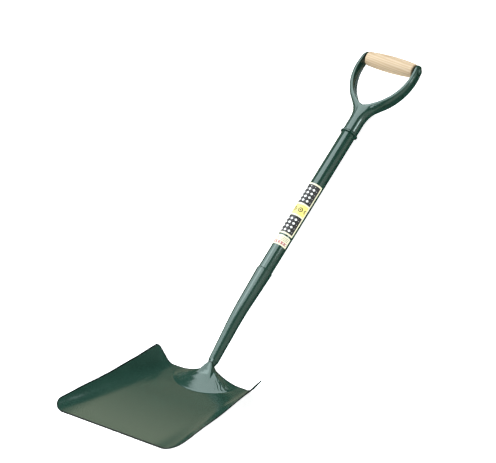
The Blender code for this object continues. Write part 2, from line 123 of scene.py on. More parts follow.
# Chamfer on the rim: its length, its drop, where it is drawn and how round it is
RIM_CHAMFER, RIM_DROP = 0.0018, 0.0010
RIM_SHARES, RIM_ROUNDING = (0.05, 0.12, 0.5, 0.95, 1.0), 1.15
SOCKET_SIDES = 72
TAPER_STEP, ROOT_STEP, BORE_STEP = 0.004, 0.002, 0.020

# Slope at the tube's upper end, straight foot of the raised ring, and rounding of the washers
SHOULDER_LENGTH = 0.0025
RING_LAND = 0.0005
WASHER_ROUNDING = 0.0004

# Yoke: outer and inner edge of one arm as (x, along the shaft), with its depth front to back
YOKE_SECTIONS = (
    ((0.0157, 0.3380), (-0.0004, 0.3380), 0.0314),
    ((0.0157, 0.3560), (-0.0004, 0.3560), 0.0314),
    ((0.0160, 0.3700), (-0.0004, 0.3730), 0.0314),
    ((0.0182, 0.3830), (-0.0004, 0.3885), 0.0310),
    ((0.0243, 0.3950), (-0.0004, 0.3993), 0.0304),
    ((0.0340, 0.4068), (0.0106, 0.4040), 0.0296),
    ((0.0462, 0.4203), (0.0265, 0.4155), 0.0286),
    ((0.0569, 0.4368), (0.0408, 0.4306), 0.0272),
    ((0.0652, 0.4560), (0.0528, 0.4505), 0.0258),
    ((0.0697, 0.4774), (0.0599, 0.4739), 0.0248),
    ((0.0700, 0.4956), (0.0617, 0.4936), 0.0243),
    ((0.0685, 0.5105), (0.0603, 0.5105), 0.0240),
    ((0.0669, 0.5163), (0.0590, 0.5158), 0.0212),
    ((0.0657, 0.5208), (0.0582, 0.5203), 0.0154),
    ((0.0648, 0.5236), (0.0578, 0.5234), 0.0072),
)
# The stem is round and the arms are squarer, and the sections between them turn from one to the other
STEM_SQUARENESS, ARM_SQUARENESS = 2.0, 3.0
STEM_SECTIONS, TURNING_SECTIONS = 2, 5
# Channel inside each arm, by sections, with its walls where it starts, along it and round the rivet's eye
CHANNEL_FIRST, CHANNEL_LAST = 5.4, 12.0
CHANNEL_FADE = 1.6
EYE_FIRST, EYE_LAST = 7, 10
CHANNEL_START_WALL, CHANNEL_WALL, EYE_WALL = 0.0060, 0.0020, 0.0050
# End of the stem's bore along the shaft, how far cutters reach past, and overlap of the two arms
BORE_END = 0.377
CUT_PAST, HOLE_REACH, CHANNEL_OVERSIZE = 0.01, 0.1, 0.0040
OVERLAP = 0.00005
BACK_STEPS, FLAT_STEPS = 28, 8
STATIONS_PER_SECTION = 4
YOKE_VOXEL, YOKE_SMOOTHING = 0.0008, 8

# Enamel on each piece: gloss, roughness, and depth in mm of its orange peel and of the steel's marks
ENAMELS = {
    "pan": (1.0, 0.16, 0.06, 0.10),
    "forged": (0.8, 0.15, 0.10, 0.15),
    # The edge finish carries the painted shade: dull and dark along the pan's cut edge
    "edge": (0.2, 0.30, 0.02, 0.05),
    "socket": (1.0, 0.20, 0.04, 0.15),
    "tube": (1.0, 0.16, 0.02, 0.04),
    "yoke": (1.0, 0.18, 0.02, 0.05),
    "rivet": (1.0, 0.20, 0.01, 0.02),
}
# Sizes of its orange peel, forge marks, clouds of thinner colour, and speckle, which is coarser than real
PEEL_SIZE, MARK_SIZE, CLOUD_SIZE, SPECKLE_SIZE = 3.2 * MM, 9 * MM, 60 * MM, 1.6 * MM
# Its colour where it lies deep and thin, its speckle, and its patches of roughness, as shares of its own
DEEP_SHARE, THIN_SHARE, THIN_LIFT = 0.86, 1.16, 0.002
SPECKLE_SHARES, DULL_SHARES = (0.94, 1.06), (0.85, 1.15)
# Its gloss is a little green, as on coated steel
GLOSS_TINT = (0.84, 1.0, 0.93)
# The pan is scoured towards the mouth: where this starts and is full, half its width, and its soft edge
WORN_FROM, WORN_TO, WORN_WIDTH, WORN_FADE = -0.36, -0.47, 0.114, 20 * MM

# Ash: spacing of its growth lines, width of its pores, and that width over their length of 8 mm
GROWTH_SPACING, PORE_WIDTH, GRAIN_SHARE = 4.5 * MM, 0.7 * MM, 0.09
# Radians that a diagonal wave of scale 1 turns in one unit, square to the grain
WAVE_TURN = 14.1

# Print on the films in mm: half its width, and its fields along the film from the lower end
PRINT_HALF = 19.5
DARK_FIELDS, YELLOW_FIELD = ((3.5, 44.0), (74.0, 118.5)), (47.5, 70.5)
DIAMOND_PITCH, DIAMOND_REACH, DIAMOND_HALF, DIAMOND_INSET = 9.0, 3.1, 16.0, 3
RING_PITCH, RING_MIDDLE, RING_HALF, RING_FIELD = 13.0, 59.0, 17.5, (48.5, 69.5)
# A row of rings, and a row of dots in them
RING_RADII = ((3.2, 4.9), (-1.0, 1.6))
RED_FIELD, BAR_FIELD, RULE_FIELD = (3.0, 9.0), (4.2, 7.8), (11.5, 19.0)
BAR_PITCH, BAR_HALF, RULE_PITCH, RULE_HALF = 6.0, 0.9, 3.0, 0.35
# Pitches added before a row of lines is folded, so that nothing is negative
FOLD_PITCHES = 40
# Ink lies unevenly, and the film's face is scuffed in larger patches
INK_SIZE, SCUFF_SIZE = 1.5 * MM, 12 * MM

# Grid spacing of the pan away from the frog and on it
COARSE, FINE = 0.0030, 0.0010
# The fine grid reaches this far past the frog's toe, and past its sides by a share of the pan's half width
FROG_MARGIN, FROG_SIDE_MARGIN = 0.006, 0.03
# Step that slopes are measured over, and the steepest that the sheet's upright thickness follows
SLOPE_STEP, STEEPEST = 0.5 * MM, 3.0
# The pan's materials by number, the last being painted shade on and beside the cut edges, how far inside the
# frog's toe its own starts, and rounding of the cut edges
FORGED, SHADED_EDGE = 1, 2
FORGED_INSET = 0.0010
EDGE_ANGLE, EDGE_STEPS = math.radians(50), 3
# Steps of the mouth's corners and of arcs, of large and small round pieces, of the grip's swell, of films
CORNER_STEPS, ARC_STEPS = 14, 8
TURN_STEPS, SMALL_STEPS, SWELL_STEPS = 96, 64, 32
FILM_COLUMNS, FILM_STEP = 56, 0.006

# Lights: setting with their watts, place, aim, width, height and degrees of roll
LIGHTS = {
    "rear_softbox": ("softbox", (-0.56, 1.39, 2.32), (0.04, -0.26, 0.22), 2.52, 3.18, 16),
    "side_softbox": ("side", (-1.98, 0.31, 1.81), (0, 0, 0), 2.0, 3.0, 0),
    "front_light": ("front", (-0.35, -1.25, 2.10), (0, 0, 0), 2.0, 2.0, 0),
    "kicker": ("kicker", (2.10, 1.25, 0.70), (0, 0, 0), 0.5, 0.5, 0),
}
# Surroundings: where they change, by how far a direction points up or to the right
HORIZON, GROUND_END, WALL_START = (-0.10, 0.0), (-0.35, -0.55), (0.62, 0.76)
# Paper floor: its radius, and its fibres, drawn coarser than real
FLOOR_RADIUS, FIBRE_SIZE = 25.0, 4 * MM


def length_property(name, description, default):
    return FloatProperty(
        name=name, description=description, default=default, unit="LENGTH", subtype="DISTANCE"
    )


def angle_property(name, description, default):
    return FloatProperty(name=name, description=description, default=math.radians(default), subtype="ANGLE")


def linear(hex_colour):
    """The linear colour of an sRGB hex value such as 2a4439."""
    channels = [int(hex_colour[i : i + 2], 16) / 255 for i in (0, 2, 4)]
    return tuple(c / 12.92 if c <= 0.04045 else ((c + 0.055) / 1.055) ** 2.4 for c in channels)


def colour_property(name, description, hex_colour):
    return FloatVectorProperty(
        name=name, description=description, default=linear(hex_colour), subtype="COLOR", size=3, min=0, max=1
    )


class PanSizes(PropertyGroup):
    """Sizes of the pan and its frog"""

    length: length_property("Length", "Mouth to heel, along the floor", 0.2994)
    mouth_width: length_property("Mouth width", "Over both sides, at the mouth", 0.3017)
    heel_width: length_property("Heel width", "Over both sides, at the heel", 0.2530)
    heel_rise: length_property("Heel rise", "How far the heel is turned up", 0.0025)
    mouth_corner: length_property("Mouth corner", "Radius of the two front corners", 0.031)
    heel_corner: length_property("Heel corner", "Radius of the two rear corners", 0.009)
    sheet: length_property("Sheet", "Thickness of the steel", 0.0020)
    edge: length_property("Edge", "Rounding of the cut edge", 0.0006)
    # Width of the band of painted shade along the cut edge, a darker enamel colour that stands in for the
    # dark outline there
    painted_shade_band: length_property("Edge band", "Dark band where enamel lies thick along the cut edge", 0.0024)
    frog_radius: length_property("Frog radius", "From the heel's middle to the toe", 0.066)
    frog_spread: FloatProperty(name="Frog spread", description="How much wider than long", default=1.09)
    frog_height: length_property("Frog height", "Height of the frog at the heel", 0.0249)
    frog_toe_sweep: FloatProperty(name="Toe sweep", description="1 is a straight cone", default=1.06)
    frog_heel_sweep: FloatProperty(name="Heel sweep", description="More is hollower", default=1.9)
    toe_step: length_property("Toe step", "Height of the frog's pressed toe line", 0.0002)
    toe_groove: length_property("Toe groove", "Depth of the press line round the toe", 0.0005)
    wrinkle: length_property("Wrinkle", "Height of the press wrinkles beside the frog", 0.00017)


class HandleSizes(PropertyGroup):
    """Sizes of the socket, the shaft and the pieces on them"""

    rim_behind_heel: length_property("Rim behind heel", "Along the floor's direction", 0.1647)
    rim_height: length_property("Rim height", "Above the pan's floor", 0.1710)
    rim_radius: length_property("Rim radius", "Outer radius of the socket at its rim", 0.0164)
    socket_wall: length_property("Socket wall", "Thickness at the rim", 0.0011)
    shaft_radius: length_property("Shaft radius", "Outer radius of the tube", 0.0150)
    shaft_wall: length_property("Shaft wall", "Thickness of the tube", 0.0016)
    swage_length: length_property("Swage length", "Tapered end inside the socket", 0.060)
    yoke_joint: length_property("Yoke joint", "Along the shaft, from the socket's rim", 0.3380)
    spigot_length: length_property("Spigot length", "Tube end inside the yoke", 0.036)
    spigot_radius: length_property("Spigot radius", "Outer radius of that end", 0.0139)
    ring_radius: length_property("Ring radius", "Outer radius of the raised ring", 0.0183)
    ring_height: length_property("Ring height", "Along the shaft", 0.0038)
    gap: length_property("Gap", "Between neighbouring pieces", 0.0003)


class GripSizes(PropertyGroup):
    """Sizes of the grip and its rivet"""

    axis: length_property("Axis", "Along the shaft, from the socket's rim", 0.5105)
    length: length_property("Length", "Of the barrel", 0.1120)
    end_radius: length_property("End radius", "Of the barrel at its ends", 0.0142)
    middle_radius: length_property("Middle radius", "Of the barrel at its middle", 0.0172)
    rounding: length_property("Rounding", "Of the barrel's end edges", 0.0025)
    rivet_radius: length_property("Rivet radius", "Of the shank", 0.0040)
    head_radius: length_property("Head radius", "Of the rivet's heads", 0.0068)
    head_height: length_property("Head height", "Of the rivet's heads", 0.0032)
    washer_radius: length_property("Washer radius", "Of the burrs under the heads", 0.0085)
    washer_thickness: length_property("Washer thickness", "Of the burrs", 0.0012)
    seat: length_property("Washer seat", "From the middle to the flat on each arm", 0.0658)


class LabelSizes(PropertyGroup):
    """Sizes of the two printed films"""

    main_low: length_property("Main, lower end", "Along the shaft, from the socket's rim", 0.0815)
    main_high: length_property("Main, upper end", "Along the shaft, from the socket's rim", 0.2035)
    foot_low: length_property("Foot, lower end", "Along the shaft, from the socket's rim", 0.0555)
    foot_high: length_property("Foot, upper end", "Along the shaft, from the socket's rim", 0.0775)
    wrap: angle_property("Wrap", "Angle that the films take round the shaft", 168)
    corner: length_property("Corner", "Radius of a film's corners", 0.0020)
    film: length_property("Film", "Thickness", 0.00025)


class Finishes(PropertyGroup):
    """Colours of the finishes"""

    enamel: colour_property("Enamel", "Stoved green enamel", "15352a")
    worn_enamel: colour_property("Worn enamel", "The same enamel, scoured at the mouth", "3d4c3e")
    # Painted shade: a darker copy of the enamel on the pan's cut edge and a narrow band beside it, standing
    # in for the dark outline there
    painted_edge_shade: colour_property("Edge enamel", "The same enamel, shaded on the pan's cut edge", "0b1410")
    ash_light: colour_property("Ash, early wood", "Light part of the grain", "c9b697")
    ash_dark: colour_property("Ash, late wood", "Dark part of the grain", "a98a62")
    label_ground: colour_property("Label ground", "Cream film", "ece8c6")
    label_yellow: colour_property("Label yellow", "Printed panel", "f0e27c")
    label_black: colour_property("Label black", "Printed field", "191a17")
    label_white: colour_property("Label white", "Printed motifs", "f2f3ee")
    label_red: colour_property("Label red", "Printed band of the foot film", "b4756c")


class StudioSettings(PropertyGroup):
    """Camera, floor and lights"""

    lens: FloatProperty(name="Lens", description="Focal length in mm", default=254.03)
    distance: length_property("Distance", "From the camera to its aim", 6.81644)
    azimuth: angle_property("Azimuth", "0 looks along +Y", 58.8106)
    elevation: angle_property("Elevation", "Above the floor", 49.8917)
    roll: angle_property("Roll", "Of the picture about the view", -34.0229)
    aim: FloatVectorProperty(
        name="Aim", description="Middle of the picture", default=(-0.07441, 0.03363, 0.03844), unit="LENGTH"
    )
    floor: colour_property("Floor", "Pale seamless paper", "f7f7f5")
    softbox: FloatProperty(name="Softbox", description="Watts of the softbox behind the heel", default=84)
    side: FloatProperty(name="Side light", description="Watts of the tall softbox on the left", default=50)
    kicker: FloatProperty(name="Kicker", description="Watts of the small light on the right", default=8)
    front: FloatProperty(name="Front light", description="Watts of the light over the mouth", default=58)
    daylight: colour_property("Daylight", "Colour of the lights", "f4f8ff")
    wall: colour_property("Wall", "Pale wall on the right", "cfcec9")
    sky: colour_property("Sky", "Surroundings above the floor", "505355")
    ground: colour_property("Ground", "Surroundings just under the horizon, mirrored by the pan", "b1a996")
    depth: colour_property("Depth", "Dark surroundings that steep faces mirror", "1c1f1d")
    backlight: FloatProperty(name="Backlight", description="Glow of the back-lit floor", default=0.85)


def evenly(start, end, step):
    count = math.ceil((end - start) / step)
    return [start + (end - start) * i / count for i in range(count + 1)]


def smooth_between(table, at):
    """Catmull-Rom interpolation in a table whose rows start with their position."""
    places = [row[0] for row in table]
    at = min(max(at, places[0]), places[-1])
    last = len(table) - 2
    i = min(max(k for k, place in enumerate(places) if place <= at), last)
    share = (at - places[i]) / (places[i + 1] - places[i])
    before, low, high, after = (table[min(max(k, 0), last + 1)] for k in range(i - 1, i + 3))
    values = []
    for a, b, c, d in zip(before[1:], low[1:], high[1:], after[1:]):
        bend = (2 * a - 5 * b + 4 * c - d) * share**2 + (3 * b - a - 3 * c + d) * share**3
        values.append(b + 0.5 * ((c - a) * share + bend))
    return values


def smoothstep(low, high, value):
    share = min(max((value - low) / (high - low), 0.0), 1.0)
    return share * share * (3 - 2 * share)


def band(limits, value):
    """Up from 0 to 1 over the first two limits, and down again over the last two."""
    start, full, fading, end = limits
    return smoothstep(start, full, value) * (1 - smoothstep(fading, end, value))


def soft_max(a, b, blend):
    """The larger of two heights, rounded where they are close, as a fillet is."""
    near = max(1 - abs(a - b) / blend, 0.0)
    return max(a, b) + blend / 4 * near * near


def rest_tilt(pan, handle, grip):
    """The turn that brings the heel's underside and the grip's belly down to one level."""
    to_grip_y = handle.rim_behind_heel + grip.axis * math.cos(LIFT)
    to_grip_z = handle.rim_height + grip.axis * math.sin(LIFT) + pan.sheet - pan.heel_rise
    reach = math.hypot(to_grip_y, to_grip_z)
    return math.atan2(to_grip_z, to_grip_y) - math.asin(grip.middle_radius / reach)


def handle_place(scene):
    """Where the handle's upright axis lies, with its origin at the socket's rim."""
    tilt = rest_tilt(scene.shovel_pan, scene.shovel_handle, scene.shovel_grip)
    turn = Matrix.Rotation(LIFT - tilt - math.pi / 2, 4, "X")
    low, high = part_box("grip")
    grip_centre = (Vector(low) + Vector(high)) / 2
    rim = grip_centre - turn @ Vector((0, 0, scene.shovel_grip.axis))
    return Matrix.Translation(rim) @ turn


def pan_place(scene):
    """Where the pan lies, worked back from the socket's rim."""
    pan, handle = scene.shovel_pan, scene.shovel_handle
    turn = Matrix.Rotation(-rest_tilt(pan, handle, scene.shovel_grip), 4, "X")
    rim_on_pan = Vector((0, pan.length + handle.rim_behind_heel, handle.rim_height))
    return Matrix.Translation(handle_place(scene).translation - turn @ rim_on_pan) @ turn


def add_node(tree, kind, inputs=None, **settings):
    """Adds a shader node. An input is a value, or another node or output, which is then linked."""
    node = tree.nodes.new("ShaderNode" + kind)
    for name, value in settings.items():
        setattr(node, name, value)
    for key, value in (inputs or {}).items():
        if isinstance(value, bpy.types.Node):
            value = value.outputs[0]
        if isinstance(value, bpy.types.NodeSocket):
            tree.links.new(value, node.inputs[key])
        else:
            node.inputs[key].default_value = value
    return node


def new_material(name):
    material = bpy.data.materials.new(name)
    material.use_nodes = True
    return material, material.node_tree, material.node_tree.nodes["Principled BSDF"]


def stoved_enamel(finish, colour, worn=None):
    """Stoved enamel on steel: deep colour, a wet gloss that orange peel breaks, and scoured pale by use."""
    material, tree, shader = new_material("stoved_enamel_" + finish)
    gloss, roughness, peel, relief = ENAMELS[finish]
    place = add_node(tree, "TexCoord").outputs["Object"]
    orange_peel = add_node(tree, "TexNoise", {"Vector": place, "Scale": 1 / PEEL_SIZE, "Detail": 2.0})
    marks = add_node(
        tree, "TexNoise", {"Vector": place, "Scale": 1 / MARK_SIZE, "Detail": 3.0, "Roughness": 0.6}
    )
    clouds = add_node(tree, "TexNoise", {"Vector": place, "Scale": 1 / CLOUD_SIZE, "Detail": 4.0})
    speckle = add_node(tree, "TexNoise", {"Vector": place, "Scale": 1 / SPECKLE_SIZE, "Detail": 3.0})
    deep = (*[c * DEEP_SHARE for c in colour], 1)
    thin = (*[min(c * THIN_SHARE + THIN_LIFT, 1) for c in colour], 1)
    tone = add_node(tree, "Mix", {0: clouds, 6: deep, 7: thin}, data_type="RGBA").outputs[2]
    if worn:
        across, along, _ = add_node(tree, "SeparateXYZ", {0: place}).outputs
        sideways = add_node(tree, "Math", {0: across}, operation="ABSOLUTE")
        on_floor = add_node(tree, "MapRange", {"Value": sideways, 1: WORN_WIDTH, 2: WORN_WIDTH - WORN_FADE})
        scour = add_node(tree, "MapRange", {"Value": along, 1: WORN_FROM, 2: WORN_TO})
        share = add_node(tree, "Math", {0: scour, 1: on_floor}, operation="MULTIPLY")
        tone = add_node(tree, "Mix", {0: share, 6: tone, 7: (*worn, 1)}, data_type="RGBA").outputs[2]
    low, high = SPECKLE_SHARES
    grain = add_node(tree, "MapRange", {"Value": speckle, 3: low, 4: high})
    toned = add_node(tree, "HueSaturation", {"Color": tone, "Value": grain})
    tree.links.new(toned.outputs[0], shader.inputs["Base Color"])
    glossy, matt = (roughness * share for share in DULL_SHARES)
    dull = add_node(tree, "MapRange", {"Value": clouds, 3: glossy, 4: matt})
    tree.links.new(dull.outputs[0], shader.inputs["Roughness"])
    forged = add_node(tree, "Bump", {"Height": marks, "Strength": 1.0, "Distance": relief * MM})
    peeled = add_node(
        tree, "Bump", {"Height": orange_peel, "Strength": 1.0, "Distance": peel * MM, "Normal": forged}
    )
    tree.links.new(peeled.outputs[0], shader.inputs["Normal"])
    shader.inputs["IOR"].default_value = 1.5
    shader.inputs["Specular IOR Level"].default_value = gloss
    shader.inputs["Specular Tint"].default_value = (*GLOSS_TINT, 1)
    return material


def turned_ash(finishes, centre):
    """Ash, turned, sanded and sealed: pale, with long soft growth lines and short open pores."""
    material, tree, shader = new_material("turned_ash")
    place = add_node(tree, "TexCoord").outputs["Object"]
    centred = add_node(tree, "Mapping", {"Vector": place, "Location": tuple(-c for c in centre)})
    along = add_node(tree, "Mapping", {"Vector": centred, "Scale": (GRAIN_SHARE, 1, 1)})
    waves = {
        "Vector": along,
        "Scale": math.tau / (WAVE_TURN * GROWTH_SPACING),
        "Distortion": 7.0,
        "Detail": 2.0,
        "Detail Scale": 0.6,
    }
    growth = add_node(tree, "TexWave", waves, bands_direction="DIAGONAL").outputs["Fac"]
    pores = add_node(
        tree, "TexNoise", {"Vector": along, "Scale": 1 / PORE_WIDTH, "Detail": 2.0, "Roughness": 0.7}
    ).outputs["Fac"]
    soft = add_node(tree, "MapRange", {"Value": growth, 3: 0.10, 4: 0.60})
    light, dark = (*finishes.ash_light, 1), (*finishes.ash_dark, 1)
    grained = add_node(tree, "Mix", {0: soft, 6: light, 7: dark}, data_type="RGBA").outputs[2]
    open_pores = add_node(tree, "MapRange", {"Value": pores, 1: 0.60, 2: 0.74, 3: 0.0, 4: 0.30})
    pored = add_node(tree, "Mix", {0: open_pores, 6: grained, 7: dark}, data_type="RGBA").outputs[2]
    tree.links.new(pored, shader.inputs["Base Color"])
    dull = add_node(tree, "MapRange", {"Value": growth, 3: 0.42, 4: 0.52})
    tree.links.new(dull.outputs[0], shader.inputs["Roughness"])
    bump = add_node(tree, "Bump", {"Height": pores, "Strength": 0.5, "Distance": 0.10 * MM})
    tree.links.new(bump.outputs[0], shader.inputs["Normal"])
    shader.inputs["Specular IOR Level"].default_value = 0.35
    return material


def within(tree, value, low, high):
    """1 where the value lies between two limits, else 0."""
    from_middle = add_node(tree, "Math", {0: value, 1: (low + high) / 2}, operation="SUBTRACT")
    distance = add_node(tree, "Math", {0: from_middle}, operation="ABSOLUTE")
    return add_node(tree, "Math", {0: distance, 1: (high - low) / 2}, operation="LESS_THAN")


def printed_box(tree, across, along, half, low, high):
    """1 inside a box of the film that reaches half its width to either side, from low to high."""
    sideways, lengthways = within(tree, across, -half, half), within(tree, along, low, high)
    return add_node(tree, "Math", {0: sideways, 1: lengthways}, operation="MULTIPLY")


def folded(tree, value, pitch, shift=0.0):
    """Distance to the nearest line of a row of parallel lines, a pitch apart and shifted."""
    moved = add_node(tree, "Math", {0: value, 1: FOLD_PITCHES * pitch + shift}, operation="ADD")
    return add_node(tree, "Math", {0: moved, 1: pitch / 2}, operation="PINGPONG")


def diamonds(tree, across, along, pitch, reach, field):
    """1 inside a lattice of diamonds with the given pitch and half diagonal, within a field."""
    total = add_node(
        tree, "Math", {0: folded(tree, across, pitch), 1: folded(tree, along, pitch)}, operation="ADD"
    )
    inside = add_node(tree, "Math", {0: total, 1: reach}, operation="LESS_THAN")
    return add_node(tree, "Math", {0: inside, 1: field}, operation="MULTIPLY")


def rings(tree, across, along, pitch, middle, low, high, field):
    """1 inside a row of rings between two radii, a pitch apart, within a field."""
    sideways = folded(tree, across, pitch, pitch / 2)
    lengthways = add_node(tree, "Math", {0: along, 1: middle}, operation="SUBTRACT")
    place = add_node(tree, "CombineXYZ", {0: sideways, 1: lengthways})
    radius = add_node(tree, "VectorMath", {0: place}, operation="LENGTH").outputs["Value"]
    ring = within(tree, radius, low, high)
    return add_node(tree, "Math", {0: ring, 1: field}, operation="MULTIPLY")


def bars(tree, value, pitch, half, field):
    """1 inside parallel bars with the given pitch and half width, within a field."""
    inside = add_node(tree, "Math", {0: folded(tree, value, pitch), 1: half}, operation="LESS_THAN")
    return add_node(tree, "Math", {0: inside, 1: field}, operation="MULTIPLY")


def main_print(tree, across, along, finishes):
    """Two dark fields with a lattice of diamonds, and a yellow band with rings between them, in mm."""
    layers = []
    for low, high in DARK_FIELDS:
        layers.append((printed_box(tree, across, along, PRINT_HALF, low, high), finishes.label_black))
        inner = printed_box(tree, across, along, DIAMOND_HALF, low + DIAMOND_INSET, high - DIAMOND_INSET)
        lattice = diamonds(tree, across, along, DIAMOND_PITCH, DIAMOND_REACH, inner)
        layers.append((lattice, finishes.label_white))
    layers.append((printed_box(tree, across, along, PRINT_HALF, *YELLOW_FIELD), finishes.label_yellow))
    field = printed_box(tree, across, along, RING_HALF, *RING_FIELD)
    for low, high in RING_RADII:
        row = rings(tree, across, along, RING_PITCH, RING_MIDDLE, low, high, field)
        layers.append((row, finishes.label_black))
    return layers


def foot_print(tree, across, along, finishes):
    """A red band with white bars below, and fine dark rules above it, in mm."""
    inner = printed_box(tree, across, along, PRINT_HALF, *BAR_FIELD)
    upper = printed_box(tree, across, along, PRINT_HALF, *RULE_FIELD)
    return [
        (printed_box(tree, across, along, PRINT_HALF, *RED_FIELD), finishes.label_red),
        (bars(tree, across, BAR_PITCH, BAR_HALF, inner), finishes.label_white),
        (bars(tree, along, RULE_PITCH, RULE_HALF, upper), finishes.label_black),
    ]


def printed_film(name, finishes, layers):
    """Gloss printed polyester film: flat inks, slightly uneven, under a clear face."""
    material, tree, shader = new_material(name)
    print_map = add_node(tree, "UVMap", uv_map="print")
    in_mm = add_node(tree, "VectorMath", {0: print_map, "Scale": 1 / MM}, operation="SCALE")
    across, along, _ = add_node(tree, "SeparateXYZ", {0: in_mm}).outputs
    place = add_node(tree, "TexCoord").outputs["Object"]
    colour = (*finishes.label_ground, 1)
    for mask, ink in layers(tree, across, along, finishes):
        colour = add_node(tree, "Mix", {0: mask, 6: colour, 7: (*ink, 1)}, data_type="RGBA").outputs[2]
    ink_lay = add_node(tree, "TexNoise", {"Vector": place, "Scale": 1 / INK_SIZE, "Detail": 3.0})
    uneven = add_node(tree, "MapRange", {"Value": ink_lay, 3: 0.93, 4: 1.05})
    toned = add_node(tree, "HueSaturation", {"Color": colour, "Value": uneven})
    tree.links.new(toned.outputs[0], shader.inputs["Base Color"])
    scuffs = add_node(tree, "TexNoise", {"Vector": place, "Scale": 1 / SCUFF_SIZE, "Detail": 4.0})
    dull = add_node(tree, "MapRange", {"Value": scuffs, 3: 0.30, 4: 0.45})
    tree.links.new(dull.outputs[0], shader.inputs["Roughness"])
    return material


def mesh_object(bm, name):
    mesh = bpy.data.meshes.new(name)
    bm.to_mesh(mesh)
    bm.free()
    made = bpy.data.objects.new(name, mesh)
    bpy.context.scene.collection.objects.link(made)
    return made


def finish_piece(bm, name, place, materials, body, nodes):
    """Makes the piece from its mesh, lays it in its place and ties it to the frame."""
    bm.transform(place)
    piece = mesh_object(bm, name)
    for material in materials:
        piece.data.materials.append(material)
    piece.data.shade_smooth()
    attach(piece, body)
    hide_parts(*nodes)
    return piece


def finish_steel(bm, name, place, materials, nodes):
    """Finishes an enamelled piece of the rigid body."""
    return finish_piece(bm, name, place, materials, "shovel", nodes)


def turned(profile, steps=TURN_STEPS):
    """A solid of revolution about Z from a closed run of (radius, height) points."""
    bm = bmesh.new()
    verts = [bm.verts.new((radius, 0, height)) for radius, height in profile]
    edges = [bm.edges.new(pair) for pair in zip(verts, verts[1:])]
    if profile[0][0] > 0:
        edges.append(bm.edges.new((verts[-1], verts[0])))
    bmesh.ops.spin(
        bm, geom=verts + edges, cent=(0, 0, 0), axis=(0, 0, 1), angle=math.tau, steps=steps, use_merge=True
    )
    bmesh.ops.remove_doubles(bm, verts=bm.verts, dist=1e-7)
    bmesh.ops.recalc_face_normals(bm, faces=bm.faces)
    return bm


def arc(centre, radius, start, end, steps=ARC_STEPS):
    """Points on an arc of a profile, by angles in degrees."""
    points = []
    for step in range(steps + 1):
        angle = math.radians(start + (end - start) * step / steps)
        points.append((centre[0] + radius * math.cos(angle), centre[1] + radius * math.sin(angle)))
    return points


def half_width(pan, y):
    """Half the pan's width at y, with its rounded corners."""
    taper = (pan.mouth_width - pan.heel_width) / 2 / pan.length
    slant = math.atan(taper)
    for radius, centre_y, end_y in (
        (pan.mouth_corner, pan.mouth_corner, 0.0),
        (pan.heel_corner, pan.length - pan.heel_corner, pan.length),
    ):
        tangent_y = centre_y + radius * math.sin(slant)
        if min(tangent_y, end_y) <= y <= max(tangent_y, end_y):
            centre_x = pan.mouth_width / 2 - taper * centre_y - radius / math.cos(slant)
            return centre_x + math.sqrt(max(radius**2 - (y - centre_y) ** 2, 0))
    return pan.mouth_width / 2 - taper * y


def pan_height(pan, x, y):
    """Height of the pan's top face without the frog: its floor, its bends and the turned-up heel."""
    floor, bend, degrees = smooth_between(PAN_SECTIONS, y)
    rise = pan.heel_rise * max((y - pan.length) / HEEL_RISE_LENGTH + 1, 0) ** HEEL_SWEEP
    lean = math.radians(degrees)
    past = abs(x) - floor
    if past <= 0:
        return rise
    if past < bend * math.sin(lean):
        return rise + bend - math.sqrt(bend**2 - past**2)
    return rise + bend * (1 - math.cos(lean)) + (past - bend * math.sin(lean)) * math.tan(lean)


def frog_height(pan, x, y):
    """How far the frog stands above the pan: a half cone with its pressed toe and the press wrinkles."""
    back = max(pan.length - y, 0.0)
    radius = math.hypot(x / pan.frog_spread, back)
    angle = abs(math.atan2(x, max(back, 1e-6)))
    sweep = pan.frog_toe_sweep
    sweep += (pan.frog_heel_sweep - sweep) * smoothstep(*HOLLOW_ANGLES, angle)
    cone = pan.frog_height * max(1 - radius / pan.frog_radius, 0) ** sweep
    front = 1 - smoothstep(*TOE_ANGLES, angle)
    step = 1 - smoothstep(pan.frog_radius - TOE_STEP_WIDTH, pan.frog_radius, radius)
    step *= pan.toe_step * front
    from_groove = abs(radius - pan.frog_radius - GROOVE_OUTSIDE)
    groove = pan.toe_groove * front * max(1 - from_groove / GROOVE_HALF_WIDTH, 0)
    spread = band(WRINKLE_ANGLES, angle) * band(WRINKLE_RADII, radius)
    waver = noise.noise(Vector((angle * WAVER_BY_ANGLE, radius * WAVER_BY_RADIUS, 0.0)))
    crumpled = pan.wrinkle * (1 + smoothstep(*CRUMPLE_ANGLES, angle))
    wrinkle = crumpled * spread * math.sin(angle * WRINKLE_RATE + WRINKLE_WAVER * waver)
    return cone + step - groove + wrinkle


def socket_path(pan, handle, distances):
    """(place, lift) on the socket's centre line at each distance down from its rim, in order."""
    place = Vector((0, pan.length + handle.rim_behind_heel, handle.rim_height))
    done, path = 0.0, []
    for distance in distances:
        steps = max(math.ceil(abs(distance - done) / PATH_STEP), 1)
        step = (distance - done) / steps
        for _ in range(steps):
            middle = done + step / 2
            cranked = min(max((middle - STRAIGHT_BELOW_RIM) / CRANK_LENGTH, 0.0), 1.0)
            rooted = min(max((middle - NECK_DISTANCE) / ROOT_TURN_LENGTH, 0.0), 1.0)
            lift = LIFT + CRANK * cranked + ROOT_TURN * rooted
            place = place - Vector((0, math.cos(lift), math.sin(lift))) * step
            done += step
        path.append((place, lift))
    return path


def socket_radius(handle, distance):
    """Outer radius of the socket: an even taper to the neck, then the root that runs out under the frog."""
    if distance <= NECK_DISTANCE:
        return handle.rim_radius + (NECK_RADIUS - handle.rim_radius) * distance / NECK_DISTANCE
    share = (distance - NECK_DISTANCE) / ROOT_LENGTH
    return NECK_RADIUS + (ROOT_END_RADIUS - NECK_RADIUS) * share**ROOT_TAPER


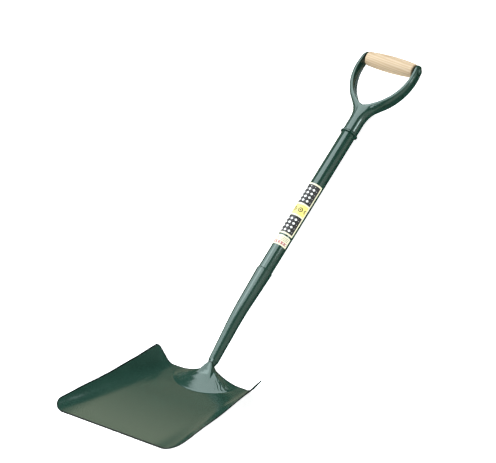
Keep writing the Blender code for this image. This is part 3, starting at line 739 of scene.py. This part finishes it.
def crest_height(back, x):
    """Height of the arched crest that spreads from the socket's neck towards the frog's toe."""
    top, half, arch = smooth_between(CREST_SECTIONS, back)
    inner = min(abs(x), half * CREST_ARCH_SHARE)
    beside = CREST_FALL * (abs(x) - inner)
    return top - arch * (1 - math.sqrt(1 - (inner / half) ** 2)) - beside


def pan_top(pan, x, y):
    """Height of the pan's top face, with the frog's crest drawn up out of it."""
    ground = pan_height(pan, x, y) + frog_height(pan, x, y)
    back = pan.length - y
    if back > CREST_SECTIONS[-1][0]:
        return ground
    soften = smoothstep(CREST_BLEND_FROM, CREST_SECTIONS[-1][0], back)
    blend = CREST_CREASE + (CREST_BLEND - CREST_CREASE) * soften
    return soft_max(ground, crest_height(max(back, 0.0), x), blend)


def pan_grid(pan):
    """The rows and columns of the pan's grid: distances from the mouth, and shares of the half width."""
    frog_start = pan.length - pan.frog_radius - FROG_MARGIN
    quarter = math.pi / 2
    rows = [pan.mouth_corner * (1 - math.cos(quarter * i / CORNER_STEPS)) for i in range(CORNER_STEPS)]
    rows = sorted(rows + [pan.painted_shade_band])
    rows += evenly(pan.mouth_corner, frog_start, COARSE)
    rows += evenly(frog_start, pan.length - pan.heel_corner, FINE)[1:]
    for i in range(1, ARC_STEPS + 1):
        rows.append(pan.length - pan.heel_corner * (1 - math.sin(quarter * i / ARC_STEPS)))
    middle = pan.frog_radius * pan.frog_spread / (pan.heel_width / 2) + FROG_SIDE_MARGIN
    outer = evenly(middle, 1.0, COARSE / (pan.heel_width / 2))
    half = evenly(0.0, middle, FINE / (pan.heel_width / 2)) + outer[1:-1]
    half += [1 - 2 * pan.painted_shade_band / pan.mouth_width, 1.0]
    return rows, [-share for share in reversed(half)] + half[1:]


def pan_mesh(scene):
    """The pan: a grid drawn to the trimmed outline, pressed to its height and given its thickness."""
    pan = scene.shovel_pan
    rows, columns = pan_grid(pan)
    bm = bmesh.new()
    upright_sheet = bm.verts.layers.float.new("upright_sheet")
    bmesh.ops.create_grid(bm, x_segments=len(columns) - 1, y_segments=len(rows) - 1, size=1.0)
    for vert in bm.verts:
        column = round((vert.co.x + 1) / 2 * (len(columns) - 1))
        row = round((vert.co.y + 1) / 2 * (len(rows) - 1))
        y = rows[row]
        x = columns[column] * half_width(pan, y)
        height = pan_top(pan, x, y)
        across = (pan_top(pan, x + SLOPE_STEP, y) - height) / SLOPE_STEP
        along = (pan_top(pan, x, y - SLOPE_STEP) - height) / SLOPE_STEP
        vert.co = (x, y, height)
        vert[upright_sheet] = pan.sheet * min(math.hypot(1, across, along), STEEPEST)
    # Faces in the band along the outline get the painted shade of the cut edge
    for face in bm.faces:
        x, y, _ = face.calc_center_median()
        if min(y, pan.length - y, half_width(pan, y) - abs(x)) < pan.painted_shade_band:
            face.material_index = SHADED_EDGE
        elif math.hypot(x / pan.frog_spread, pan.length - y) < pan.frog_radius - FORGED_INSET:
            face.material_index = FORGED
    made = bmesh.ops.extrude_face_region(bm, geom=list(bm.faces))["geom"]
    lower = {item for item in made if isinstance(item, bmesh.types.BMVert)}
    for vert in lower:
        vert.co.z -= vert[upright_sheet]
    # The sheet's cut sides get the same painted shade
    for item in made:
        if isinstance(item, bmesh.types.BMFace) and not lower.issuperset(item.verts):
            item.material_index = SHADED_EDGE
    bmesh.ops.recalc_face_normals(bm, faces=bm.faces)
    return bm


def drawn_on(bm, edges):
    """Extrudes a ring of edges once. Returns the verts and edges of the new ring."""
    made = bmesh.ops.extrude_edge_only(bm, edges=edges)["geom"]
    verts = [item for item in made if isinstance(item, bmesh.types.BMVert)]
    kept = set(verts)
    found = [item for item in made if isinstance(item, bmesh.types.BMEdge)]
    return verts, [edge for edge in found if edge.verts[0] in kept and edge.verts[1] in kept]


def drawn_ring(bm, count, places):
    """A closed bar in a new bmesh: a round ring drawn on through the given places."""
    verts = bmesh.ops.create_circle(bm, segments=count, radius=1.0)["verts"]
    edges = list(bm.edges)
    bmesh.ops.transform(bm, matrix=places[0], verts=verts)
    bmesh.ops.contextual_create(bm, geom=edges)
    for before, here in zip(places, places[1:]):
        verts, edges = drawn_on(bm, edges)
        bmesh.ops.transform(bm, matrix=here @ before.inverted(), verts=verts)
    bmesh.ops.contextual_create(bm, geom=edges)
    bmesh.ops.recalc_face_normals(bm, faces=bm.faces)


def socket_places(pan, handle, distances, radii):
    """A place for the ring at each distance, square to the socket's centre line and as wide as it."""
    places = []
    for (place, lift), radius in zip(socket_path(pan, handle, distances), radii):
        scale = Matrix.Diagonal((radius, radius, 1, 1))
        places.append(Matrix.Translation(place) @ Matrix.Rotation(lift - math.pi / 2, 4, "X") @ scale)
    return places


def socket_mesh(scene):
    """The socket from its root under the frog up to the rim, and down its bore again."""
    pan, handle = scene.shovel_pan, scene.shovel_handle
    end = NECK_DISTANCE + ROOT_LENGTH
    outside = evenly(RIM_CHAMFER, NECK_DISTANCE, TAPER_STEP) + evenly(NECK_DISTANCE, end, ROOT_STEP)[1:]
    outside.reverse()
    radii = [socket_radius(handle, distance) for distance in outside]
    outside = [end + past for past, _ in ROOT_TIP] + outside
    radii = [ROOT_END_RADIUS * share for _, share in ROOT_TIP] + radii
    for share in RIM_SHARES:
        outside.append(RIM_CHAMFER * (1 - share))
        radii.append(handle.rim_radius - RIM_DROP * share**RIM_ROUNDING)
    inside = evenly(0.0, BORE_DEPTH, BORE_STEP)
    outside += inside
    radii += [socket_radius(handle, distance) - handle.socket_wall for distance in inside]
    bm = bmesh.new()
    drawn_ring(bm, SOCKET_SIDES, socket_places(pan, handle, outside, radii))
    return bm


def squared(value, squareness):
    """Cosine or sine drawn towards a square, as a superellipse is."""
    return math.copysign(abs(value) ** (2 / squareness), value)


def yoke_section(at):
    """(outer, inner, depth, squareness) of the arm at a place in the table of sections, counted in rows."""
    table = []
    for index, (outer, inner, depth) in enumerate(YOKE_SECTIONS):
        table.append((index, *outer, *inner, depth))
    outer_x, outer_s, inner_x, inner_s, depth = smooth_between(table, at)
    share = min(max((at - STEM_SECTIONS) / TURNING_SECTIONS, 0), 1)
    squareness = STEM_SQUARENESS + (ARM_SQUARENESS - STEM_SQUARENESS) * share
    return Vector((outer_x, outer_s)), Vector((inner_x, inner_s)), depth, squareness


def arm_points(at, side, back, wall, past):
    """The D section of one arm there, as a ring of points. With walls it is the channel inside."""
    outer, inner, depth, squareness = yoke_section(at)
    inward = (inner - outer).normalized()
    width = (inner - outer).length
    points = []
    for step in range(BACK_STEPS + 1):
        angle = -math.pi / 2 + math.pi * step / BACK_STEPS
        across = width - (width - back) * squared(math.cos(angle), squareness)
        place = outer + inward * across
        points.append((side * place.x, (depth / 2 - wall) * squared(math.sin(angle), squareness), place.y))
    edge = inner + inward * past
    for step in range(FLAT_STEPS):
        share = 1 - 2 * step / (FLAT_STEPS - 1)
        points.append((side * edge.x, (depth / 2 - wall) * share, edge.y))
    return points


def arm_object(name, first, last, side, hollow=False):
    """One arm, or the channel in it, drawn section by section from a ring."""
    stations = evenly(first, last, 1 / STATIONS_PER_SECTION)
    bm = bmesh.new()
    count = BACK_STEPS + 1 + FLAT_STEPS
    index = bm.verts.layers.int.new("index")
    verts = bmesh.ops.create_circle(bm, segments=count, radius=1.0)["verts"]
    for number, vert in enumerate(verts):
        vert[index] = number
    edges = list(bm.edges)
    bmesh.ops.contextual_create(bm, geom=edges)
    for station, at in enumerate(stations):
        if station:
            verts, edges = drawn_on(bm, edges)
        back, wall, past = 0.0, 0.0, OVERLAP
        if hollow:
            wall = CHANNEL_START_WALL
            wall += (CHANNEL_WALL - wall) * smoothstep(first, first + CHANNEL_FADE, at)
            back = wall + (EYE_WALL - CHANNEL_WALL) * smoothstep(EYE_FIRST, EYE_LAST, at)
            past = CHANNEL_OVERSIZE
        points = arm_points(at, side, back, wall, past)
        for vert in verts:
            vert.co = points[vert[index]]
    bmesh.ops.contextual_create(bm, geom=edges)
    bmesh.ops.recalc_face_normals(bm, faces=bm.faces)
    return mesh_object(bm, name)


def bar_object(name, radius, low, high, turn, offset=(0, 0, 0)):
    """A round bar along the turned axis, between two distances on it."""
    bm = bmesh.new()
    place = Matrix.Translation(offset) @ turn @ Matrix.Translation((0, 0, (low + high) / 2))
    size = {"radius1": radius, "radius2": radius, "depth": high - low}
    bmesh.ops.create_cone(bm, cap_ends=True, segments=SMALL_STEPS, matrix=place, **size)
    return mesh_object(bm, name)


def yoke_mesh(scene):
    """Two arms parted from a stem, bored, channelled and pierced, then worked smooth as a pressing is."""
    handle, grip = scene.shovel_handle, scene.shovel_grip
    last = len(YOKE_SECTIONS) - 1
    yoke = arm_object("yoke_arm", 0, last, 1)
    cross = Matrix.Rotation(math.pi / 2, 4, "Y")
    at_grip = (0, 0, grip.axis)
    upright = Matrix.Identity(4)
    bore_radius, seat_radius = handle.spigot_radius + handle.gap, grip.washer_radius + handle.gap
    steps = [("UNION", arm_object("other_arm", 0, last, -1))]
    bore_start = handle.yoke_joint - CUT_PAST
    steps.append(("DIFFERENCE", bar_object("bore", bore_radius, bore_start, BORE_END, upright)))
    for side in (1, -1):
        steps.append(("DIFFERENCE", arm_object("channel", CHANNEL_FIRST, CHANNEL_LAST, side, hollow=True)))
    hole_radius = grip.rivet_radius + handle.gap
    steps.append(("DIFFERENCE", bar_object("hole", hole_radius, -HOLE_REACH, HOLE_REACH, cross, at_grip)))
    for side in (1, -1):
        low, high = sorted((side * grip.seat, side * (grip.seat + CUT_PAST)))
        steps.append(("DIFFERENCE", bar_object("seat", seat_radius, low, high, cross, at_grip)))
    for operation, other in steps:
        cut = yoke.modifiers.new("cut", "BOOLEAN")
        cut.operation = operation
        cut.object = other
        cut.solver = "EXACT"
    remesh = yoke.modifiers.new("even", "REMESH")
    remesh.mode = "VOXEL"
    remesh.voxel_size = YOKE_VOXEL
    smooth = yoke.modifiers.new("smooth", "SMOOTH")
    smooth.factor = 0.5
    smooth.iterations = YOKE_SMOOTHING
    bpy.context.view_layer.update()
    evaluated = yoke.evaluated_get(bpy.context.evaluated_depsgraph_get())
    bm = bmesh.new()
    bm.from_mesh(evaluated.to_mesh())
    evaluated.to_mesh_clear()
    for made in [yoke] + [other for _, other in steps]:
        bpy.data.objects.remove(made, do_unlink=True)
    return bm


def film_mesh(scene, low, high):
    """A film bent round the front of the shaft, with rounded corners and its own print map in metres."""
    sizes = scene.shovel_label
    radius = scene.shovel_handle.shaft_radius + scene.shovel_handle.gap
    half, length = radius * sizes.wrap / 2, high - low
    arcs = [sizes.corner * (1 - math.cos(math.pi / 2 * i / ARC_STEPS)) for i in range(ARC_STEPS)]
    rows = arcs + evenly(sizes.corner, length - sizes.corner, FILM_STEP)
    rows += [length - inset for inset in reversed(arcs)]
    bm = bmesh.new()
    bmesh.ops.create_grid(bm, x_segments=FILM_COLUMNS, y_segments=len(rows) - 1, size=1.0)
    print_map = bm.loops.layers.uv.new("print")
    flat = {}
    for vert in bm.verts:
        along = rows[round((vert.co.y + 1) / 2 * (len(rows) - 1))]
        near_end = min(along, length - along)
        inset = 0.0
        if near_end < sizes.corner:
            inset = sizes.corner - math.sqrt(max(sizes.corner**2 - (sizes.corner - near_end) ** 2, 0))
        across = vert.co.x * (half - inset)
        flat[vert] = (across, along)
        angle = across / radius
        vert.co = (radius * math.sin(angle), -radius * math.cos(angle), low + along)
    for face in bm.faces:
        for loop in face.loops:
            loop[print_map].uv = flat[loop.vert]
    bm.normal_update()
    inward = []
    for face in bm.faces:
        x, y, _ = face.calc_center_median()
        if face.normal.x * x + face.normal.y * y < 0:
            inward.append(face)
    bmesh.ops.reverse_faces(bm, faces=inward)
    return bm


class SHOVEL_OT_blade(Operator):
    """Models the pressed pan with its frog, and the socket that is drawn up out of it"""

    bl_idname = "shovel.blade"
    bl_label = "Blade and Socket"

    def execute(self, context):
        scene = context.scene
        finishes = scene.shovel_finish
        satin = stoved_enamel("pan", finishes.enamel, finishes.worn_enamel)
        forged = stoved_enamel("forged", finishes.enamel)
        # Painted shade: a darker enamel on and beside the pan's cut edge
        cut = stoved_enamel("edge", finishes.painted_edge_shade)
        drawn = stoved_enamel("socket", finishes.enamel)
        place = pan_place(scene)
        piece = finish_steel(pan_mesh(scene), "pan", place, [satin, forged, cut], ["blade"])
        edge = piece.modifiers.new("edge", "BEVEL")
        edge.limit_method = "ANGLE"
        edge.angle_limit = EDGE_ANGLE
        edge.width = scene.shovel_pan.edge
        edge.segments = EDGE_STEPS
        # The bevel's rounding also gets the painted shade
        edge.material = SHADED_EDGE
        finish_steel(socket_mesh(scene), "socket", place, [drawn], ["blade"])
        return {"FINISHED"}


class SHOVEL_OT_shaft(Operator):
    """Turns the steel tube and the raised ring at its upper joint"""

    bl_idname = "shovel.shaft"
    bl_label = "Shaft and Ring"

    def execute(self, context):
        scene = context.scene
        handle = scene.shovel_handle
        gloss = stoved_enamel("tube", scene.shovel_finish.enamel)
        place = handle_place(scene)
        taper = (handle.rim_radius - NECK_RADIUS) / NECK_DISTANCE
        swaged = handle.shaft_radius - taper * handle.swage_length
        shoulder = handle.yoke_joint - handle.gap
        top = handle.yoke_joint + handle.spigot_length
        outside = [
            (handle.spigot_radius, top),
            (handle.spigot_radius, shoulder),
            (handle.shaft_radius, shoulder - SHOULDER_LENGTH),
            (handle.shaft_radius, 0),
            (swaged, -handle.swage_length),
        ]
        inside = [(radius - handle.shaft_wall, height) for radius, height in reversed(outside)]
        finish_steel(turned(outside + inside), "shaft", place, [gloss], ["shaft_tube"])
        bore = handle.shaft_radius + handle.gap
        half = handle.ring_height / 2
        middle = shoulder - half
        reach = handle.ring_radius - bore
        bead = [(bore, shoulder)]
        for x, z in arc((0, 0), 1.0, 90, -90, 2 * ARC_STEPS):
            bead.append((bore + RING_LAND + (reach - RING_LAND) * x, middle + half * z))
        bead.append((bore, shoulder - handle.ring_height))
        finish_steel(turned(bead), "ring", place, [gloss], ["yoke_ring"])
        return {"FINISHED"}


class SHOVEL_OT_yoke(Operator):
    """Models the pressed yoke with its two channelled arms"""

    bl_idname = "shovel.yoke"
    bl_label = "Yoke"

    def execute(self, context):
        scene = context.scene
        gloss = stoved_enamel("yoke", scene.shovel_finish.enamel)
        finish_steel(yoke_mesh(scene), "pressed_yoke", handle_place(scene), [gloss], ["yoke"])
        return {"FINISHED"}


class SHOVEL_OT_grip(Operator):
    """Turns the wooden barrel"""

    bl_idname = "shovel.grip"
    bl_label = "Grip"

    def execute(self, context):
        scene = context.scene
        grip, handle = scene.shovel_grip, scene.shovel_handle
        half = grip.length / 2
        bore = grip.rivet_radius + handle.gap
        corner = (grip.end_radius - grip.rounding, half - grip.rounding)
        end = arc(corner, grip.rounding, 90, 0)
        swell = []
        for step in range(1, SWELL_STEPS):
            share = 1 - 2 * step / SWELL_STEPS
            radius = grip.end_radius + (grip.middle_radius - grip.end_radius) * (1 - share**2)
            swell.append((radius, share * (half - grip.rounding)))
        other = [(radius, -height) for radius, height in reversed(end)]
        barrel = turned([(bore, half), *end, *swell, *other, (bore, -half)])
        place = handle_place(scene) @ Matrix.Translation((0, 0, grip.axis))
        ash = turned_ash(scene.shovel_finish, place.translation)
        across = Matrix.Rotation(math.pi / 2, 4, "Y")
        finish_piece(barrel, "barrel", place @ across, [ash], "grip_barrel", ["grip"])
        return {"FINISHED"}


class SHOVEL_OT_rivet(Operator):
    """Turns the through rivet and the two burrs under its heads"""

    bl_idname = "shovel.rivet"
    bl_label = "Rivet and Washers"

    def execute(self, context):
        scene = context.scene
        grip, handle = scene.shovel_grip, scene.shovel_handle
        gloss = stoved_enamel("rivet", scene.shovel_finish.enamel)
        across = Matrix.Rotation(math.pi / 2, 4, "Y")
        place = handle_place(scene) @ Matrix.Translation((0, 0, grip.axis)) @ across
        seat = grip.seat + 2 * handle.gap + grip.washer_thickness
        upper = [(grip.rivet_radius, seat)]
        for x, z in arc((0, 0), 1.0, 0, 90):
            upper.append((grip.head_radius * x, seat + grip.head_height * z))
        upper[-1] = (0, seat + grip.head_height)
        profile = list(reversed(upper)) + [(radius, -height) for radius, height in upper]
        finish_steel(turned(profile, SMALL_STEPS), "rivet", place, [gloss], ["grip_rivet"])
        bore, half, rim = grip.rivet_radius + handle.gap, grip.washer_thickness / 2, WASHER_ROUNDING
        corner = grip.washer_radius - rim
        section = [(bore, half), *arc((corner, half - rim), rim, 90, 0, 4)]
        section += [*arc((corner, rim - half), rim, 0, -90, 4), (bore, -half)]
        for hand, side in (("right", 1), ("left", -1)):
            offset = Matrix.Translation((0, 0, side * (grip.seat + handle.gap + half)))
            burr = turned(section, SMALL_STEPS)
            finish_steel(burr, "burr_" + hand, place @ offset, [gloss], ["washer_" + hand])
        return {"FINISHED"}


class SHOVEL_OT_labels(Operator):
    """Lays the two printed films round the front of the shaft"""

    bl_idname = "shovel.labels"
    bl_label = "Labels"

    def execute(self, context):
        scene = context.scene
        sizes, finishes = scene.shovel_label, scene.shovel_finish
        films = (
            ("film_main", "label_main", sizes.main_low, sizes.main_high, main_print),
            ("film_foot", "label_foot", sizes.foot_low, sizes.foot_high, foot_print),
        )
        for name, node, low, high, layers in films:
            material = printed_film("printed_" + name, finishes, layers)
            bm = film_mesh(scene, low, high)
            piece = finish_piece(bm, name, handle_place(scene), [material], "shovel", [node])
            film = piece.modifiers.new("film", "SOLIDIFY")
            film.thickness = sizes.film
            film.offset = 1
        return {"FINISHED"}


class SHOVEL_OT_stage(Operator):
    """Sets the floor, the lights and the camera"""

    bl_idname = "shovel.stage"
    bl_label = "Stage"

    def execute(self, context):
        scene = context.scene
        studio = scene.shovel_studio
        self.lay_floor(studio)
        for name in LIGHTS:
            self.light(studio, name)
        self.surround(scene, studio)
        scene.view_settings.view_transform = "Standard"
        self.set_camera(scene, studio)
        return {"FINISHED"}

    def surround(self, scene, studio):
        """Surroundings: grey air, warm ground under the horizon, a pale wall on the right, dark below."""
        world = bpy.data.worlds.new("studio_air")
        world.use_nodes = True
        tree = world.node_tree
        direction = add_node(tree, "TexCoord").outputs["Generated"]
        right, _, height = add_node(tree, "SeparateXYZ", {0: direction}).outputs
        colour = (*studio.ground, 1)
        for value, (low, high), tone in (
            (height, HORIZON, studio.sky),
            (right, WALL_START, studio.wall),
            (height, GROUND_END, studio.depth),
        ):
            limits = {"Value": value, 1: low, 2: high}
            share = add_node(tree, "MapRange", limits, interpolation_type="SMOOTHSTEP")
            colour = add_node(tree, "Mix", {0: share, 6: colour, 7: (*tone, 1)}, data_type="RGBA").outputs[2]
        tree.links.new(colour, tree.nodes["Background"].inputs["Color"])
        scene.world = world

    def lay_floor(self, studio):
        bm = bmesh.new()
        bmesh.ops.create_circle(bm, cap_ends=True, segments=SMALL_STEPS, radius=FLOOR_RADIUS)
        floor = mesh_object(bm, "paper_floor")
        material, tree, shader = new_material("matt_paper")
        place = add_node(tree, "TexCoord").outputs["Object"]
        fibre = add_node(tree, "TexNoise", {"Vector": place, "Scale": 1 / FIBRE_SIZE, "Detail": 2.0})
        dark = (*[c * 0.97 for c in studio.floor], 1)
        tone = add_node(tree, "Mix", {0: fibre, 6: (*studio.floor, 1), 7: dark}, data_type="RGBA")
        tree.links.new(tone.outputs[2], shader.inputs["Base Color"])
        shader.inputs["Roughness"].default_value = 0.9
        shader.inputs["Specular IOR Level"].default_value = 0.1
        shader.inputs["Emission Color"].default_value = (1, 1, 1, 1)
        shader.inputs["Emission Strength"].default_value = studio.backlight
        floor.data.materials.append(material)
        floor.visible_glossy = False

    def light(self, studio, name):
        """An area light of its own size, square to the line from its place to its aim."""
        setting, place, aim, width, height, roll = LIGHTS[name]
        lamp = bpy.data.lights.new(name, "AREA")
        lamp.shape = "RECTANGLE"
        lamp.energy = getattr(studio, setting)
        lamp.color = studio.daylight
        lamp.size = width
        lamp.size_y = height
        made = bpy.data.objects.new(name, lamp)
        facing = (Vector(aim) - Vector(place)).to_track_quat("-Z", "Y").to_matrix()
        rolled = facing @ Matrix.Rotation(math.radians(roll), 3, "Z")
        made.matrix_world = Matrix.Translation(place) @ rolled.to_4x4()
        bpy.context.scene.collection.objects.link(made)

    def set_camera(self, scene, studio):
        data = bpy.data.cameras.new("camera")
        data.lens = studio.lens
        data.sensor_width = 36.0
        data.clip_end = 60.0
        camera = bpy.data.objects.new("camera", data)
        level = math.cos(studio.elevation)
        back = Vector(
            (math.sin(studio.azimuth) * level, -math.cos(studio.azimuth) * level, math.sin(studio.elevation))
        )
        turn = (-back).to_track_quat("-Z", "Y").to_matrix().to_4x4()
        roll = Matrix.Rotation(studio.roll, 4, "Z")
        camera.matrix_world = Matrix.Translation(Vector(studio.aim) + back * studio.distance) @ turn @ roll
        scene.collection.objects.link(camera)
        scene.camera = camera


class SHOVEL_PT_panel(Panel):
    """Sizes, finishes and pieces of the shovel"""

    bl_label = "Square Shovel"
    bl_idname = "SHOVEL_PT_panel"
    bl_space_type = "VIEW_3D"
    bl_region_type = "UI"
    bl_category = "Shovel"

    def draw(self, context):
        for group in GROUPS:
            box = self.layout.box()
            box.label(text=GROUPS[group].__doc__)
            settings = getattr(context.scene, group)
            for name in GROUPS[group].__annotations__:
                box.prop(settings, name)
        for operator in OPERATORS:
            self.layout.operator(operator.bl_idname)


GROUPS = {
    "shovel_pan": PanSizes,
    "shovel_handle": HandleSizes,
    "shovel_grip": GripSizes,
    "shovel_label": LabelSizes,
    "shovel_finish": Finishes,
    "shovel_studio": StudioSettings,
}
OPERATORS = (
    SHOVEL_OT_blade,
    SHOVEL_OT_shaft,
    SHOVEL_OT_yoke,
    SHOVEL_OT_grip,
    SHOVEL_OT_rivet,
    SHOVEL_OT_labels,
    SHOVEL_OT_stage,
)


def register():
    for group, kind in GROUPS.items():
        bpy.utils.register_class(kind)
        setattr(bpy.types.Scene, group, PointerProperty(type=kind))
    for operator in OPERATORS:
        bpy.utils.register_class(operator)
    bpy.utils.register_class(SHOVEL_PT_panel)


def unregister():
    bpy.utils.unregister_class(SHOVEL_PT_panel)
    for operator in reversed(OPERATORS):
        bpy.utils.unregister_class(operator)
    for group, kind in reversed(GROUPS.items()):
        delattr(bpy.types.Scene, group)
        bpy.utils.unregister_class(kind)


def main():
    register()
    for step in ("blade", "shaft", "yoke", "grip", "rivet", "labels", "stage"):
        getattr(bpy.ops.shovel, step)()


if __name__ == "__main__":
    main()
